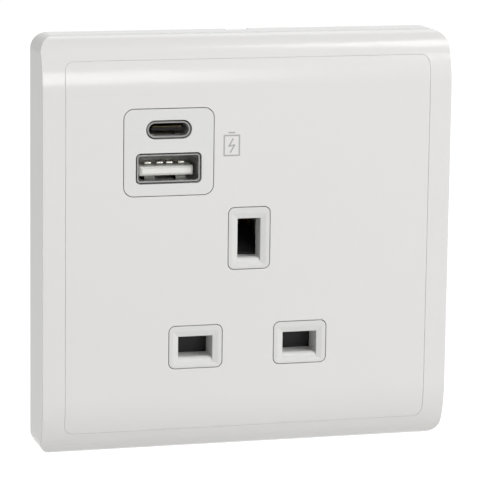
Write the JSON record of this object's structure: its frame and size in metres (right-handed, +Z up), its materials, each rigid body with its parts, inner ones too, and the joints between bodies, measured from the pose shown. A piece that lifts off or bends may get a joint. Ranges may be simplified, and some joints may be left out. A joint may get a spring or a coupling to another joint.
{
  "type": "usb wall socket",
  "caption": "Square flush wall socket with a rolled top and bottom, a shuttered flat-pin outlet, a wide and a narrow charging port and a rear terminal housing.",
  "frame": {"origin": "midway between the two fixing slots, in the plane of the wall", "axes": "+X to the right seen from the front, +Y into the wall, +Z up; the front face looks along -Y"},
  "size_m": [0.086, 0.0345, 0.086],
  "materials": {
    "cover_white": "smooth moulded white plastic with a soft gloss",
    "housing_white": "moulded plastic with a fine spark-eroded texture",
    "shutter_black": "black moulded plastic, satin",
    "plated_steel": "zinc-plated steel",
    "contact_brass": "pressed brass strip",
    "terminal_brass": "extruded and drilled brass",
    "lead_brown": "smooth brown insulation",
    "lead_blue": "smooth blue insulation",
    "port_shell": "nickel-plated folded sheet",
    "tongue_white": "moulded white plastic",
    "tongue_black": "moulded black plastic",
    "port_contact": "gold-flashed contact strip",
    "board_green": "glass-fibre board under green solder mask",
    "ferrite": "sintered grey ferrite",
    "winding_tape": "yellow film tape over the winding",
    "can_sleeve": "aluminium can in a black sleeve",
    "can_metal": "bare aluminium can",
    "chip_black": "black moulding compound",
    "disc_blue": "blue-coated ceramic disc",
    "resistor_body": "coated resistor body"
  },
  "bodies": {
    "socket": {"surround_frame": "cover_white", "front_plate": "cover_white", "base_plate": "cover_white", "usb_face": "cover_white", "rear_housing": "housing_white", "housing_screws": "plated_steel", "shutter_spring": "plated_steel", "line_contact": "contact_brass", "neutral_contact": "contact_brass", "earth_contact": "contact_brass", "line_terminal": "terminal_brass", "neutral_terminal": "terminal_brass", "earth_terminal": "terminal_brass", "line_lead": "lead_brown", "neutral_lead": "lead_blue", "usb_a_shell": "port_shell", "usb_a_tongue": "tongue_white", "usb_a_contacts": "port_contact", "usb_c_shell": "port_shell", "usb_c_tongue": "tongue_black", "usb_c_contacts": "port_contact", "usb_board": "board_green", "transformer_core": "ferrite", "transformer_winding": "winding_tape", "input_capacitors": "can_sleeve", "output_capacitors": "can_metal", "inductor": "ferrite", "bridge_rectifier": "chip_black", "controller_chip": "chip_black", "output_rectifier": "chip_black", "disc_capacitor": "disc_blue", "fuse_resistor": "resistor_body"},
    "shutter": {"shutter": "shutter_black"},
    "line_screw": {"line_screw": "plated_steel"},
    "neutral_screw": {"neutral_screw": "plated_steel"},
    "earth_screw_right": {"earth_screw_right": "plated_steel"},
    "earth_screw_left": {"earth_screw_left": "plated_steel"}
  },
  "joints": [
    {"name": "shutter_slide", "type": "slide", "parent": "socket", "child": "shutter", "axis": [0, 0, -1], "range_m": [0, 0.0055], "stiffness_N_per_m": 120, "springref_m": -0.004, "deforming": ["shutter_spring"]},
    {"name": "line_screw_clamp", "type": "slide", "parent": "socket", "child": "line_screw", "axis": [0, -1, 0], "range_m": [0, 0.003]},
    {"name": "neutral_screw_clamp", "type": "slide", "parent": "socket", "child": "neutral_screw", "axis": [0, -1, 0], "range_m": [0, 0.003]},
    {"name": "earth_screw_right_clamp", "type": "slide", "parent": "socket", "child": "earth_screw_right", "axis": [0, -1, 0], "range_m": [0, 0.003]},
    {"name": "earth_screw_left_clamp", "type": "slide", "parent": "socket", "child": "earth_screw_left", "axis": [0, -1, 0], "range_m": [0, 0.003]}
  ]
}
